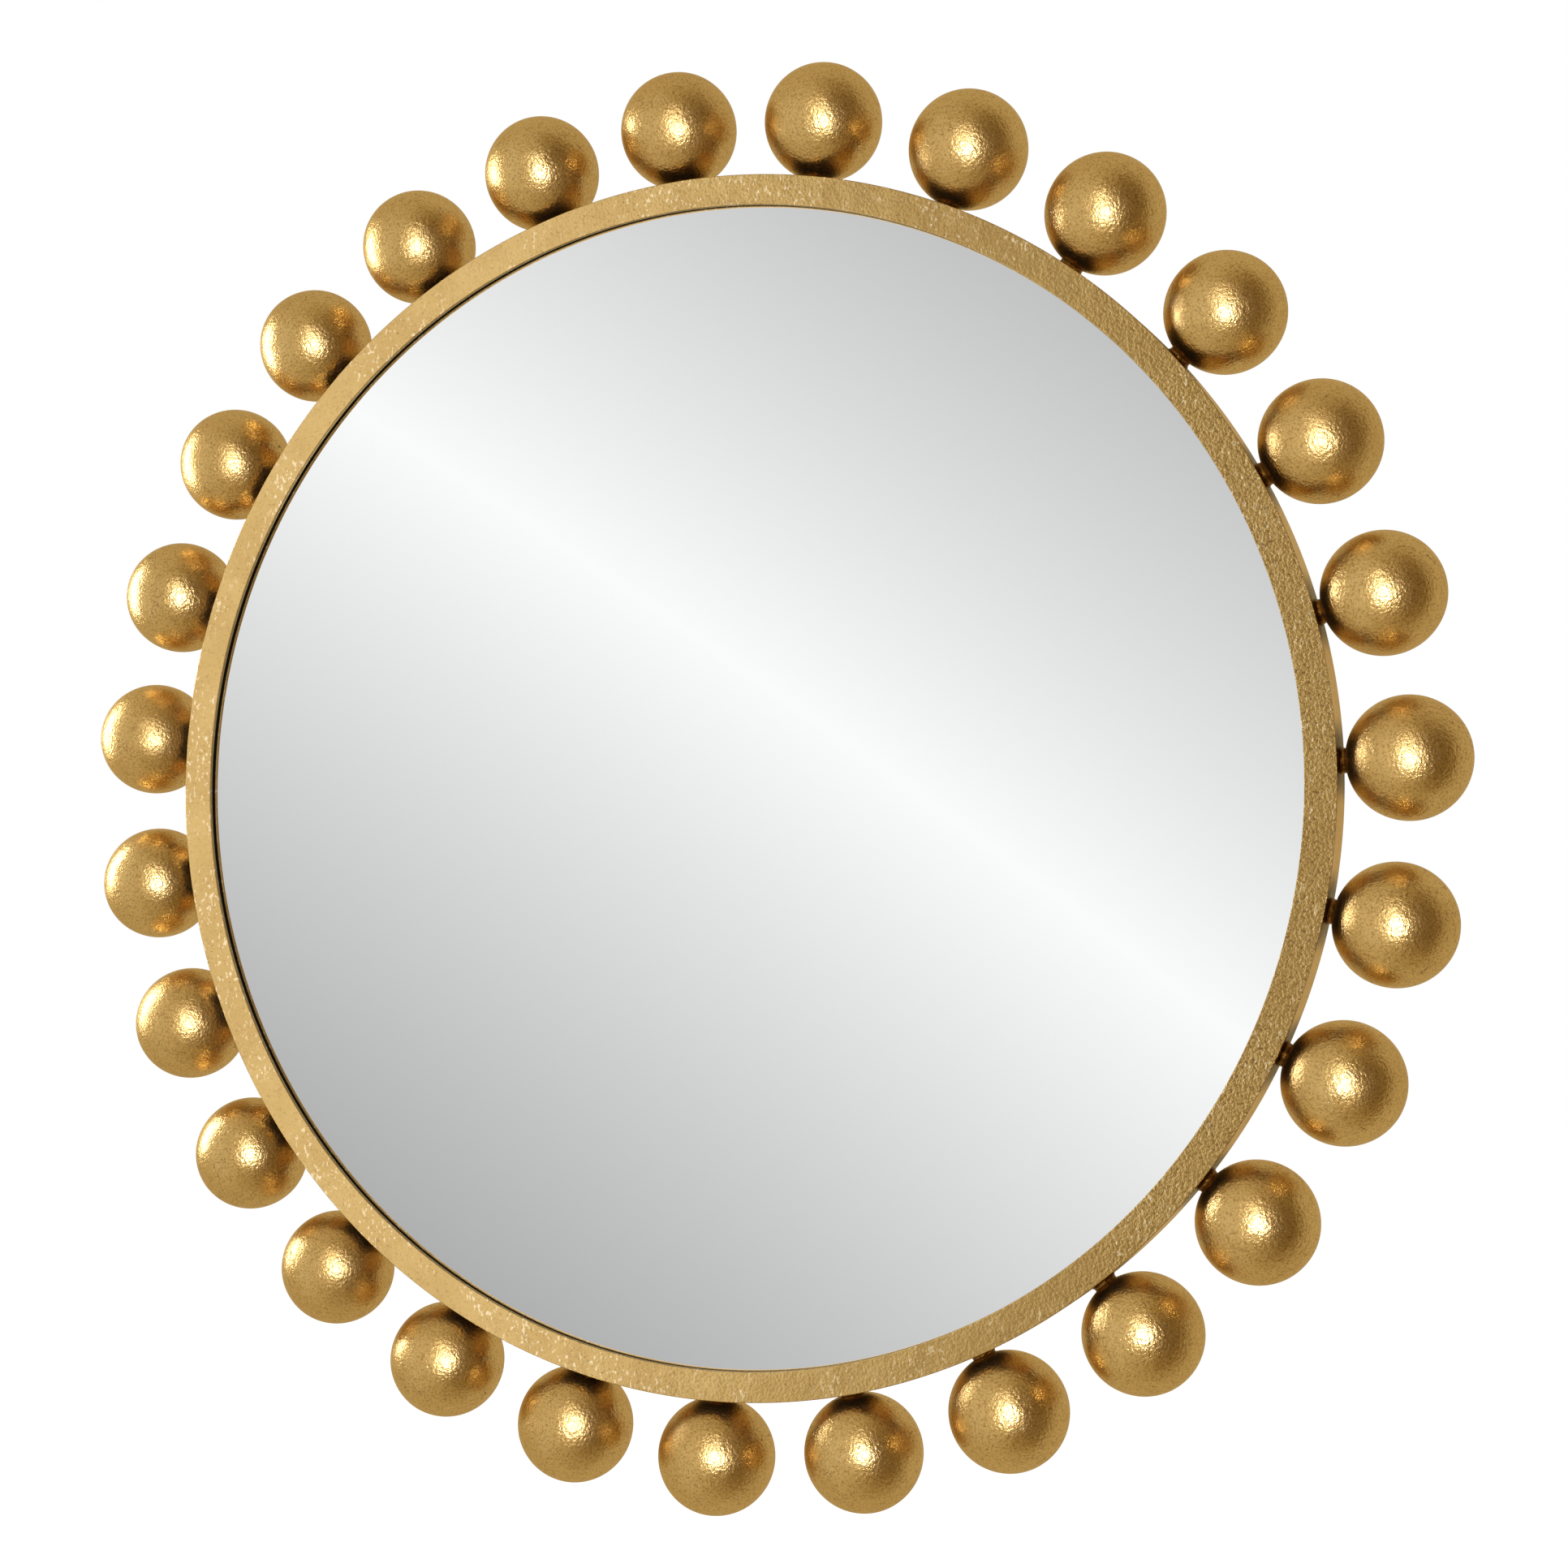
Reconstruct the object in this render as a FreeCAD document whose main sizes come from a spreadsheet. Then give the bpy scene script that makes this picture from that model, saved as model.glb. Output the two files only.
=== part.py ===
import FreeCAD, Part
import math
import os

import Sketcher

# Round wall mirror: a flat steel ring with hollow balls welded round its outside.
#
# Frame: millimetres. The origin is where the ring's axis meets the wall plane.
# +Z is up, +X is to the right for someone who looks at the mirror, and the
# mirror faces -Y. The backs of the balls touch the wall plane, y = 0.

# ---------------------------------------------------------------------------
# Driving sizes
# ---------------------------------------------------------------------------

SIZES = {
    # front plate and rolled band
    "ring_outer_radius": 382.0,
    "ring_depth": 33.0,
    "face_width": 19.0,
    "plate_thickness": 3.0,
    "plate_edge_bevel": 0.5,
    "band_thickness": 4.0,
    "band_setback": 0.5,
    "seam_bevel": 0.8,
    "seam_weld_count": 27,
    "seam_weld_length": 9.0,
    "weld_play": 0.08,
    # balls
    "ball_count": 27,
    "ball_diameter": 74.0,
    "ball_wall": 1.2,
    "ball_gap": 2.0,
    "ball_seat_depth": 24.0,
    "ball_weld_flare": 0.8,
    # glass and what holds it
    "gasket_thickness": 2.0,
    "gasket_setback": 1.2,
    "glass_thickness": 4.0,
    "glass_play": 1.5,
    "glass_bevel": 0.5,
    "board_thickness": 6.0,
    "board_play": 1.0,
    "tab_count": 8,
    "tab_width": 20.0,
    "tab_reach": 26.0,
    "tab_flange": 11.0,
    "tab_thickness": 1.5,
    "tab_wall_gap": 0.2,
    "tab_hole_inset": 9.0,
    # round-head screws
    "screw_shank_diameter": 3.4,
    "screw_head_diameter": 7.0,
    "screw_head_height": 2.2,
    "screw_rim_height": 1.0,
    "screw_crown_diameter": 4.0,
    "screw_grip": 4.6,
    "screw_hole_play": 0.3,
    "pilot_play": 0.05,
    # hangers
    "hanger_offset": 230.0,
    "hanger_height": 190.0,
    "strap_length": 50.0,
    "strap_width": 14.0,
    "strap_thickness": 1.2,
    "strap_first_hole": 27.0,
    "strap_hole_spacing": 15.0,
    "strap_corner_radius": 5.0,
    "loop_wire_diameter": 3.0,
    "loop_inner_width": 22.0,
    "loop_inner_height": 16.0,
    "loop_corner_radius": 4.0,
    "hinge_play": 0.25,
}


class Formula:
    """A length with its present value and the text that binds it to the sheet."""

    def __init__(self, value, text):
        self.value = float(value)
        self.text = text

    def __add__(self, other):
        other = formula(other)
        return Formula(self.value + other.value, "(%s + %s)" % (self.text, other.text))

    def __sub__(self, other):
        other = formula(other)
        return Formula(self.value - other.value, "(%s - %s)" % (self.text, other.text))

    def __mul__(self, other):
        other = formula(other)
        return Formula(self.value * other.value, "(%s * %s)" % (self.text, other.text))

    def __truediv__(self, other):
        other = formula(other)
        return Formula(self.value / other.value, "(%s / %s)" % (self.text, other.text))

    def __neg__(self):
        return Formula(-self.value, "(0 - %s)" % self.text)


def formula(number):
    """A plain number or a formula, as a formula."""
    if isinstance(number, Formula):
        return number
    return Formula(number, repr(number))


def root(square):
    """The square root of a formula."""
    return Formula(math.sqrt(square.value), "sqrt(%s)" % square.text)


def size(alias):
    """The size of that name in the sheet."""
    return Formula(SIZES[alias], "Sizes." + alias)


# Places along Y, from the front of the plate to the back of the ring.
FRONT = -(size("ball_seat_depth") + size("ball_diameter") / 2)
PLATE_BACK = FRONT + size("plate_thickness")
GLASS_FRONT = PLATE_BACK + size("gasket_thickness")
GLASS_BACK = GLASS_FRONT + size("glass_thickness")
BOARD_BACK = GLASS_BACK + size("board_thickness")
TAB_BACK = BOARD_BACK + size("tab_thickness")
RING_BACK = FRONT + size("ring_depth")
BALL_Y = FRONT + size("ball_seat_depth")

# Radii about the ring's axis, from the sight edge outwards.
PLATE_INNER = size("ring_outer_radius") - size("face_width")
GASKET_INNER = PLATE_INNER + size("gasket_setback")
BAND_OUTER = size("ring_outer_radius") - size("band_setback")
BAND_INNER = BAND_OUTER - size("band_thickness")
GLASS_RADIUS = BAND_INNER - size("glass_play")
BOARD_RADIUS = BAND_INNER - size("board_play")
TAB_OUTER = BAND_INNER - size("tab_wall_gap")
TAB_INNER = TAB_OUTER - size("tab_reach")
TAB_SCREW_RADIUS = TAB_INNER + size("tab_hole_inset")
BALL_CIRCLE = BAND_OUTER + size("ball_gap") + size("ball_diameter") / 2
BALL_WELD_RADIUS = RING_BACK - BALL_Y

# Hanger, in its own frame: the hinge axis is X and the board lies at -Y.
EYE_RADIUS = size("loop_wire_diameter") / 2 + size("hinge_play") + size("strap_thickness")
STRAP_FRONT = size("strap_thickness") - EYE_RADIUS
HINGE_Y = BOARD_BACK + EYE_RADIUS
STRAP_HOLES = [size("strap_first_hole"), size("strap_first_hole") + size("strap_hole_spacing")]

DOCUMENT = FreeCAD.newDocument("ball_mirror")
SUB_PARTS = []


def make_sheet():
    """The sheet of driving sizes, one alias for each."""
    sheet = DOCUMENT.addObject("Spreadsheet::Sheet", "Sizes")
    for row, (alias, value) in enumerate(SIZES.items(), start=1):
        sheet.set("A%d" % row, alias)
        sheet.set("B%d" % row, str(value))
        sheet.setAlias("B%d" % row, alias)
    DOCUMENT.recompute()


# ---------------------------------------------------------------------------
# Drawing helpers
# ---------------------------------------------------------------------------

def new_body(label):
    """An empty body that may hold several separate solids."""
    body = DOCUMENT.addObject("PartDesign::Body", label)
    body.Label = label
    body.AllowCompound = True
    SUB_PARTS.append(body)
    return body


def origin_feature(body, role):
    """One of the body's own origin planes or axes."""
    for item in body.Origin.OriginFeatures:
        if item.Role == role:
            return item
    raise ValueError(role)


def new_sketch(body, plane, offset=None):
    """An empty sketch on one of the body's origin planes, moved along its normal."""
    sketch = body.newObject("Sketcher::SketchObject", body.Label + "_sketch")
    sketch.AttachmentSupport = (origin_feature(body, plane), [""])
    sketch.MapMode = "FlatFace"
    if offset is not None:
        sketch.setExpression(".AttachmentOffset.Base.z", offset.text)
    return sketch


def bind(sketch, kind, *arguments):
    """A dimension whose value is the formula that stands last."""
    target = arguments[-1]
    index = sketch.addConstraint(Sketcher.Constraint(kind, *arguments[:-1], target.value))
    sketch.setExpression("Constraints[%d]" % index, target.text)


def pin(sketch, geometry, point, x, y):
    """Holds a point of the sketch at x, y."""
    bind(sketch, "DistanceX", -1, 1, geometry, point, formula(x))
    bind(sketch, "DistanceY", -1, 1, geometry, point, formula(y))


def vector(x, y):
    """The present place of a pair of formulas."""
    return FreeCAD.Vector(formula(x).value, formula(y).value, 0)


def polygon(sketch, corners):
    """A closed outline of straight sides through the given corners."""
    count = len(corners)
    sides = []
    for index in range(count):
        start = vector(*corners[index])
        end = vector(*corners[(index + 1) % count])
        sides.append(sketch.addGeometry(Part.LineSegment(start, end), False))
    for index in range(count):
        following = sides[(index + 1) % count]
        sketch.addConstraint(Sketcher.Constraint("Coincident", sides[index], 2, following, 1))
    for side, corner in zip(sides, corners):
        pin(sketch, side, 1, *corner)


def axis_line(sketch, start, end):
    """A construction line to turn the outline about."""
    line = Part.LineSegment(vector(*start), vector(*end))
    index = sketch.addGeometry(line, True)
    pin(sketch, index, 1, *start)
    pin(sketch, index, 2, *end)


def circle(sketch, x, y, radius):
    """A circle held by its centre and radius."""
    shape = Part.Circle(vector(x, y), FreeCAD.Vector(0, 0, 1), radius.value)
    index = sketch.addGeometry(shape, False)
    bind(sketch, "Radius", index, radius)
    pin(sketch, index, 3, x, y)


def arc_between(sketch, start, end, centre):
    """An arc from start to end, anticlockwise about its centre."""
    middle = vector(*centre)
    first = vector(*start) - middle
    last = vector(*end) - middle
    shape = Part.ArcOfCircle(
        Part.Circle(middle, FreeCAD.Vector(0, 0, 1), first.Length),
        math.atan2(first.y, first.x),
        math.atan2(last.y, last.x),
    )
    index = sketch.addGeometry(shape, False)
    pin(sketch, index, 1, *start)
    pin(sketch, index, 2, *end)
    bind(sketch, "DistanceY", -1, 1, index, 3, formula(centre[1]))


def line_between(sketch, start, end):
    """A straight stretch from start to end."""
    index = sketch.addGeometry(Part.LineSegment(vector(*start), vector(*end)), False)
    pin(sketch, index, 1, *start)
    pin(sketch, index, 2, *end)


def revolve(body, sketch, axis=None, angle=None):
    """Turns the sketch about the ring's axis, or about the given axis."""
    feature = body.newObject("PartDesign::Revolution", body.Label + "_revolution")
    feature.Profile = sketch
    feature.ReferenceAxis = axis or (origin_feature(body, "Y_Axis"), [""])
    feature.Angle = 360.0
    if angle is not None:
        feature.Midplane = True
        feature.setExpression("Angle", angle.text)
    body.Tip = feature
    return feature


def pad(body, sketch, length):
    """Raises the sketch by the given length, half to each side."""
    feature = body.newObject("PartDesign::Pad", body.Label + "_pad")
    feature.Profile = sketch
    feature.Length = length.value
    feature.setExpression("Length", length.text)
    feature.Midplane = True
    body.Tip = feature
    return feature


def pocket_through(body, sketch):
    """Cuts the sketch right through the body, both ways."""
    feature = body.newObject("PartDesign::Pocket", body.Label + "_pocket")
    feature.Profile = sketch
    feature.Type = "ThroughAll"
    feature.Midplane = True
    body.Tip = feature
    return feature


def blind_pocket(body, sketch, depth):
    """Cuts the sketch into the body from the sketch's plane towards the front."""
    feature = body.newObject("PartDesign::Pocket", body.Label + "_pocket")
    feature.Profile = sketch
    feature.Reversed = True
    feature.Length = depth.value
    feature.setExpression("Length", depth.text)
    body.Tip = feature
    return feature


def round_pattern(body, features, count):
    """Repeats features evenly about the ring's axis."""
    pattern = body.newObject("PartDesign::PolarPattern", body.Label + "_pattern")
    pattern.Originals = features
    pattern.Axis = (origin_feature(body, "Y_Axis"), [""])
    pattern.Angle = 360.0
    pattern.Occurrences = int(count.value)
    pattern.setExpression("Occurrences", count.text)
    body.Tip = pattern
    return pattern


def upright_edges(feature, height):
    """Names of the short edges along Y at that height."""
    names = []
    for number, edge in enumerate(feature.Shape.Edges, start=1):
        first, last = edge.Vertexes[0].Point, edge.Vertexes[-1].Point
        along_y = abs(first.x - last.x) < 0.01 and abs(first.z - last.z) < 0.01
        if along_y and first != last and abs(first.z - height.value) < 0.01:
            names.append("Edge%d" % number)
    return names


def fillet(body, feature, edges, radius):
    """Rounds the named edges of a feature."""
    rounding = body.newObject("PartDesign::Fillet", body.Label + "_fillet")
    rounding.Base = (feature, edges)
    rounding.Radius = radius.value
    rounding.setExpression("Radius", radius.text)
    body.Tip = rounding
    return rounding


# ---------------------------------------------------------------------------
# Ring
# ---------------------------------------------------------------------------

def front_ring_plate():
    """The flat face: a ring cut from sheet, its back outer edge bevelled for the seam."""
    body = new_body("front_ring_plate")
    outer = size("ring_outer_radius")
    bevel = size("seam_bevel")
    worn = size("plate_edge_bevel")
    sketch = new_sketch(body, "XY_Plane")
    polygon(sketch, [
        (PLATE_INNER, FRONT + worn),
        (PLATE_INNER + worn, FRONT),
        (outer - worn, FRONT),
        (outer, FRONT + worn),
        (outer, PLATE_BACK - bevel),
        (outer - bevel, PLATE_BACK),
        (PLATE_INNER, PLATE_BACK),
    ])
    revolve(body, sketch)


def rim_band():
    """The flat bar rolled on edge behind the plate, its front outer edge bevelled."""
    body = new_body("rim_band")
    bevel = size("seam_bevel")
    sketch = new_sketch(body, "XY_Plane")
    polygon(sketch, [
        (BAND_INNER, PLATE_BACK),
        (BAND_OUTER - bevel, PLATE_BACK),
        (BAND_OUTER, PLATE_BACK + bevel),
        (BAND_OUTER, RING_BACK),
        (BAND_INNER, RING_BACK),
    ])
    revolve(body, sketch)


def seam_welds():
    """Short stitch welds that fill the seam groove between plate and band."""
    body = new_body("seam_welds")
    play = size("weld_play")
    bevel = size("seam_bevel")
    plate_edge = size("ring_outer_radius")
    sketch = new_sketch(body, "YZ_Plane")
    polygon(sketch, [
        (PLATE_BACK - bevel + play, plate_edge),
        (PLATE_BACK + play, plate_edge - bevel),
        (PLATE_BACK + play, BAND_OUTER - bevel + play * 2),
        (PLATE_BACK + bevel - play, BAND_OUTER),
    ])
    arc_angle = size("seam_weld_length") / size("ring_outer_radius") * formula(180.0 / math.pi)
    weld = revolve(body, sketch, angle=arc_angle)
    round_pattern(body, [weld], size("seam_weld_count"))


# ---------------------------------------------------------------------------
# Balls
# ---------------------------------------------------------------------------

def ball_angle(number):
    """Degrees from +X towards +Z. The gap between the first and last ball is at the top."""
    turn = formula(360.0) / size("ball_count")
    return formula(90.0) - turn * (number - 0.5)


def hollow_ball(number):
    """A thin steel ball beside the band, one of those spaced evenly round it."""
    name = "ball_%02d" % number
    shell = DOCUMENT.addObject("Part::Sphere", name + "_outside")
    shell.Radius = size("ball_diameter").value / 2
    shell.setExpression("Radius", (size("ball_diameter") / 2).text)
    cavity = DOCUMENT.addObject("Part::Sphere", name + "_inside")
    cavity.Radius = size("ball_diameter").value / 2 - size("ball_wall").value
    cavity.setExpression("Radius", (size("ball_diameter") / 2 - size("ball_wall")).text)
    ball = DOCUMENT.addObject("Part::Cut", name)
    ball.Label = name
    ball.Base = shell
    ball.Tool = cavity
    angle = ball_angle(number)
    ball.setExpression(".Placement.Base.x", "%s * cos(%s * 1 deg)" % (BALL_CIRCLE.text, angle.text))
    ball.setExpression(".Placement.Base.y", BALL_Y.text)
    ball.setExpression(".Placement.Base.z", "%s * sin(%s * 1 deg)" % (BALL_CIRCLE.text, angle.text))
    SUB_PARTS.append(ball)


def ball_welds():
    """The weld between the band and each ball: a waisted collar as wide as the band's back edge.

    Its seat against the ball is a cone that touches the ball on a circle half the collar's size.
    """
    body = new_body("ball_welds")
    play = size("weld_play")
    reach = BALL_WELD_RADIUS
    seat_radius = reach / 2
    depth = root(size("ball_diameter") * size("ball_diameter") / 4 - seat_radius * seat_radius)
    lean = seat_radius * seat_radius / depth
    seat = BALL_CIRCLE - depth - play
    start = BAND_OUTER + play
    flare = size("ball_weld_flare")
    sketch = new_sketch(body, "YZ_Plane")
    polygon(sketch, [
        (BALL_Y, start),
        (BALL_Y + reach, start),
        (BALL_Y + reach - flare, start + flare / 2),
        (BALL_Y + reach - flare, seat + lean - flare),
        (BALL_Y + reach, seat + lean),
        (BALL_Y, seat - lean),
    ])
    axis_line(sketch, (BALL_Y, start), (BALL_Y, seat - lean))
    collar = revolve(body, sketch, axis=(sketch, ["Axis0"]))
    round_pattern(body, [collar], size("ball_count"))
    body.Placement = FreeCAD.Placement(FreeCAD.Vector(), FreeCAD.Rotation(FreeCAD.Vector(0, 1, 0), 1))
    body.setExpression(".Placement.Rotation.Angle", "180 deg / Sizes.ball_count")


# ---------------------------------------------------------------------------
# Glass and what holds it
# ---------------------------------------------------------------------------

def glass_gasket():
    """The black foam ring that keeps the glass off the plate."""
    body = new_body("glass_gasket")
    sketch = new_sketch(body, "XY_Plane")
    polygon(sketch, [
        (GASKET_INNER, PLATE_BACK),
        (GLASS_RADIUS, PLATE_BACK),
        (GLASS_RADIUS, GLASS_FRONT),
        (GASKET_INNER, GLASS_FRONT),
    ])
    revolve(body, sketch)


def mirror_glass():
    """The flat silvered glass, with a small ground bevel at its front edge."""
    body = new_body("mirror_glass")
    bevel = size("glass_bevel")
    sketch = new_sketch(body, "XY_Plane")
    polygon(sketch, [
        (formula(0), GLASS_FRONT),
        (GLASS_RADIUS - bevel, GLASS_FRONT),
        (GLASS_RADIUS, GLASS_FRONT + bevel),
        (GLASS_RADIUS, GLASS_BACK),
        (formula(0), GLASS_BACK),
    ])
    revolve(body, sketch)


def backing_board():
    """The fibreboard disc behind the glass, with blind pilot holes for the screws."""
    body = new_body("backing_board")
    sketch = new_sketch(body, "XY_Plane")
    polygon(sketch, [
        (formula(0), GLASS_BACK),
        (BOARD_RADIUS, GLASS_BACK),
        (BOARD_RADIUS, BOARD_BACK),
        (formula(0), BOARD_BACK),
    ])
    revolve(body, sketch)
    pilot = size("screw_shank_diameter") / 2 + size("pilot_play")
    tab_hole = new_sketch(body, "XZ_Plane", -BOARD_BACK)
    circle(tab_hole, formula(0), TAB_SCREW_RADIUS, pilot)
    hole = blind_pocket(body, tab_hole, size("screw_grip") + size("pilot_play"))
    round_pattern(body, [hole], size("tab_count"))
    strap_holes = new_sketch(body, "XZ_Plane", -BOARD_BACK)
    for side in (-1, 1):
        for height in STRAP_HOLES:
            circle(strap_holes, size("hanger_offset") * side, size("hanger_height") - height, pilot)
    blind_pocket(body, strap_holes, size("screw_grip") + size("pilot_play"))


def retaining_tabs():
    """Angle tabs welded inside the band, which hold the board and the glass forward."""
    body = new_body("retaining_tabs")
    thickness = size("tab_thickness")
    section = new_sketch(body, "YZ_Plane")
    flange_end = BOARD_BACK + size("tab_flange")
    polygon(section, [
        (BOARD_BACK, TAB_INNER),
        (TAB_BACK, TAB_INNER),
        (TAB_BACK, TAB_OUTER - thickness),
        (flange_end, TAB_OUTER - thickness),
        (flange_end, TAB_OUTER),
        (BOARD_BACK, TAB_OUTER),
    ])
    strip = pad(body, section, size("tab_width"))
    hole_sketch = new_sketch(body, "XZ_Plane")
    hole_radius = size("screw_shank_diameter") / 2 + size("screw_hole_play")
    circle(hole_sketch, formula(0), TAB_SCREW_RADIUS, hole_radius)
    hole = pocket_through(body, hole_sketch)
    round_pattern(body, [strip, hole], size("tab_count"))


def screw_outline(sketch, seat, axis, plate):
    """Half of a pan-head screw: its head on seat, its shank through plate into the board."""
    shank = size("screw_shank_diameter") / 2
    head = size("screw_head_diameter") / 2
    crown = size("screw_crown_diameter") / 2
    tip = seat - plate - size("screw_grip")
    rim = seat + size("screw_rim_height")
    top = seat + size("screw_head_height")
    polygon(sketch, [
        (tip, axis),
        (top, axis),
        (top, axis + crown),
        (rim, axis + head),
        (seat, axis + head),
        (seat, axis + shank),
        (tip + shank, axis + shank),
    ])
    axis_line(sketch, (tip, axis), (top, axis))


def tab_screws():
    """The screw through each tab."""
    body = new_body("tab_screws")
    sketch = new_sketch(body, "YZ_Plane")
    screw_outline(sketch, TAB_BACK, TAB_SCREW_RADIUS, size("tab_thickness"))
    screw = revolve(body, sketch, axis=(sketch, ["Axis0"]))
    round_pattern(body, [screw], size("tab_count"))


# ---------------------------------------------------------------------------
# Hangers, each built about its hinge axis and then put in its place
# ---------------------------------------------------------------------------

def place_hanger(body, side):
    """Puts a hanger piece at its height, left (-1) or right (1) of the middle."""
    body.setExpression(".Placement.Base.x", (size("hanger_offset") * side).text)
    body.setExpression(".Placement.Base.y", HINGE_Y.text)
    body.setExpression(".Placement.Base.z", size("hanger_height").text)


def hanger_strap(name, side):
    """A steel strap with an eye folded round the loop's bar and two screw holes below."""
    body = new_body("hanger_strap_" + name)
    width = size("strap_width")
    strip = new_sketch(body, "YZ_Plane")
    polygon(strip, [
        (-EYE_RADIUS, -size("strap_length")),
        (STRAP_FRONT, -size("strap_length")),
        (STRAP_FRONT, formula(0)),
        (-EYE_RADIUS, formula(0)),
    ])
    pad(body, strip, width)
    eye = new_sketch(body, "YZ_Plane")
    circle(eye, formula(0), formula(0), EYE_RADIUS)
    pad(body, eye, width)
    bore = new_sketch(body, "YZ_Plane")
    circle(bore, formula(0), formula(0), size("loop_wire_diameter") / 2 + size("hinge_play"))
    pocket_through(body, bore)
    holes = new_sketch(body, "XZ_Plane")
    for height in STRAP_HOLES:
        radius = size("screw_shank_diameter") / 2 + size("screw_hole_play")
        circle(holes, formula(0), -height, radius)
    pierced = pocket_through(body, holes)
    DOCUMENT.recompute()
    corners = upright_edges(pierced, -size("strap_length"))
    fillet(body, pierced, corners, size("strap_corner_radius"))
    place_hanger(body, side)


def hanger_screws(name, side):
    """The two screws that hold a strap to the board."""
    body = new_body("hanger_screws_" + name)
    for height in STRAP_HOLES:
        sketch = new_sketch(body, "YZ_Plane")
        screw_outline(sketch, STRAP_FRONT, -height, size("strap_thickness"))
        revolve(body, sketch, axis=(sketch, ["Axis0"]))
    place_hanger(body, side)


def hanger_loop(name, side):
    """The wire D that turns in the strap's eye, hanging down at rest."""
    body = new_body("hanger_loop_" + name)
    wire = size("loop_wire_diameter")
    half = size("loop_inner_width") / 2 + wire / 2
    corner = size("loop_corner_radius")
    bow_top = half - size("loop_inner_height") - wire
    path = new_sketch(body, "XZ_Plane")
    line_between(path, (formula(0), formula(0)), (half - corner, formula(0)))
    arc_between(path, (half, -corner), (half - corner, formula(0)), (half - corner, -corner))
    line_between(path, (half, -corner), (half, bow_top))
    arc_between(path, (-half, bow_top), (half, bow_top), (formula(0), bow_top))
    line_between(path, (-half, bow_top), (-half, -corner))
    arc_between(path, (corner - half, formula(0)), (-half, -corner), (corner - half, -corner))
    line_between(path, (corner - half, formula(0)), (formula(0), formula(0)))
    section = new_sketch(body, "YZ_Plane")
    circle(section, formula(0), formula(0), wire / 2)
    pipe = body.newObject("PartDesign::AdditivePipe", body.Label + "_pipe")
    pipe.Profile = section
    pipe.Spine = (path, ["Edge%d" % number for number in range(1, path.GeometryCount + 1)])
    body.Tip = pipe
    place_hanger(body, side)


# ---------------------------------------------------------------------------
# Document
# ---------------------------------------------------------------------------

def build():
    """Makes every sub-part."""
    make_sheet()
    front_ring_plate()
    rim_band()
    seam_welds()
    for number in range(1, int(SIZES["ball_count"]) + 1):
        hollow_ball(number)
    ball_welds()
    glass_gasket()
    mirror_glass()
    backing_board()
    retaining_tabs()
    tab_screws()
    for name, side in (("left", -1), ("right", 1)):
        hanger_strap(name, side)
        hanger_screws(name, side)
        hanger_loop(name, side)
    DOCUMENT.recompute()


def check():
    """Stops if anything in the document failed or a sub-part isn't a sound solid."""
    for item in DOCUMENT.Objects:
        if {"Invalid", "Error"} & set(item.State):
            raise RuntimeError("%s failed: %s" % (item.Label, item.State))
    for item in SUB_PARTS:
        if item.Shape.isNull() or not item.Shape.isValid() or not item.Shape.Solids:
            raise RuntimeError("%s has no sound shape" % item.Label)


def export():
    """Writes one STEP file for each sub-part."""
    os.makedirs("parts", exist_ok=True)
    for item in SUB_PARTS:
        item.Shape.exportStep("parts/%s.step" % item.Label)
        box = item.Shape.BoundBox
        report = (item.Label, len(item.Shape.Solids), item.Shape.Volume / 1000.0)
        corners = (box.XMin, box.XMax, box.YMin, box.YMax, box.ZMin, box.ZMax)
        print("%-20s %2d solids %9.2f cm3" % report, " ".join("%.1f" % c for c in corners))


build()
check()
export()
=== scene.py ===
import math

import bmesh
import bpy
from mathutils import Matrix, Vector


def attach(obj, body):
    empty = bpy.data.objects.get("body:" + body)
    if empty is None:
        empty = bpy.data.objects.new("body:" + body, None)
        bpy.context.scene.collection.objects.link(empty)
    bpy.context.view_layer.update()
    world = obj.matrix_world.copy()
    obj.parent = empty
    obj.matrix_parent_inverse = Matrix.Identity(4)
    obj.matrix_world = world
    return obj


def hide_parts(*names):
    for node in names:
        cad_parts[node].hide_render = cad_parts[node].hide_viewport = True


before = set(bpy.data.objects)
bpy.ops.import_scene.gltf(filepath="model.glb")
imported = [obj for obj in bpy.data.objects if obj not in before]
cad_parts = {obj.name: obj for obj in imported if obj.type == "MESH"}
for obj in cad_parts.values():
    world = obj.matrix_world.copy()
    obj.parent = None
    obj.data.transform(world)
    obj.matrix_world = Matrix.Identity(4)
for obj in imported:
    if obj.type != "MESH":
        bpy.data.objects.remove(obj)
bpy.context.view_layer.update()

# Round wall mirror with gold-leafed balls. Metres; the wall is the plane y = 0, the mirror
# faces -Y and +Z is up. The sizes repeat those of the solids that the pieces here replace.

MM = 0.001
TURN = 2 * math.pi

# Places along Y, from the front to the wall.
PLATE_FRONT = -61.0 * MM
PLATE_BACK = -58.0 * MM
BOARD_BACK = -46.0 * MM
STRAP_BACK = -44.8 * MM
TAB_BACK = -44.5 * MM
BALL_Y = -37.0 * MM
RING_BACK = -28.0 * MM

# Ring
RING_RADIUS = 382.0 * MM
FACE_WIDTH = 19.0 * MM
PLATE_ROUNDING = 0.55 * MM
BAND_OUTER = 381.5 * MM
BAND_THICKNESS = 4.0 * MM
BAND_ROUNDING = 0.8 * MM
STITCH_RADIUS = 381.35 * MM
SEAM_SHADE = 1.3 * MM

# Balls and their welds
BALL_COUNT = 27
BALL_PITCH = TURN / BALL_COUNT
BALL_RADIUS = 37.0 * MM
BALL_CIRCLE = 420.5 * MM
COLLAR_START = BAND_OUTER - 0.3 * MM
COLLAR_REACH = 5.2 * MM

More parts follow.
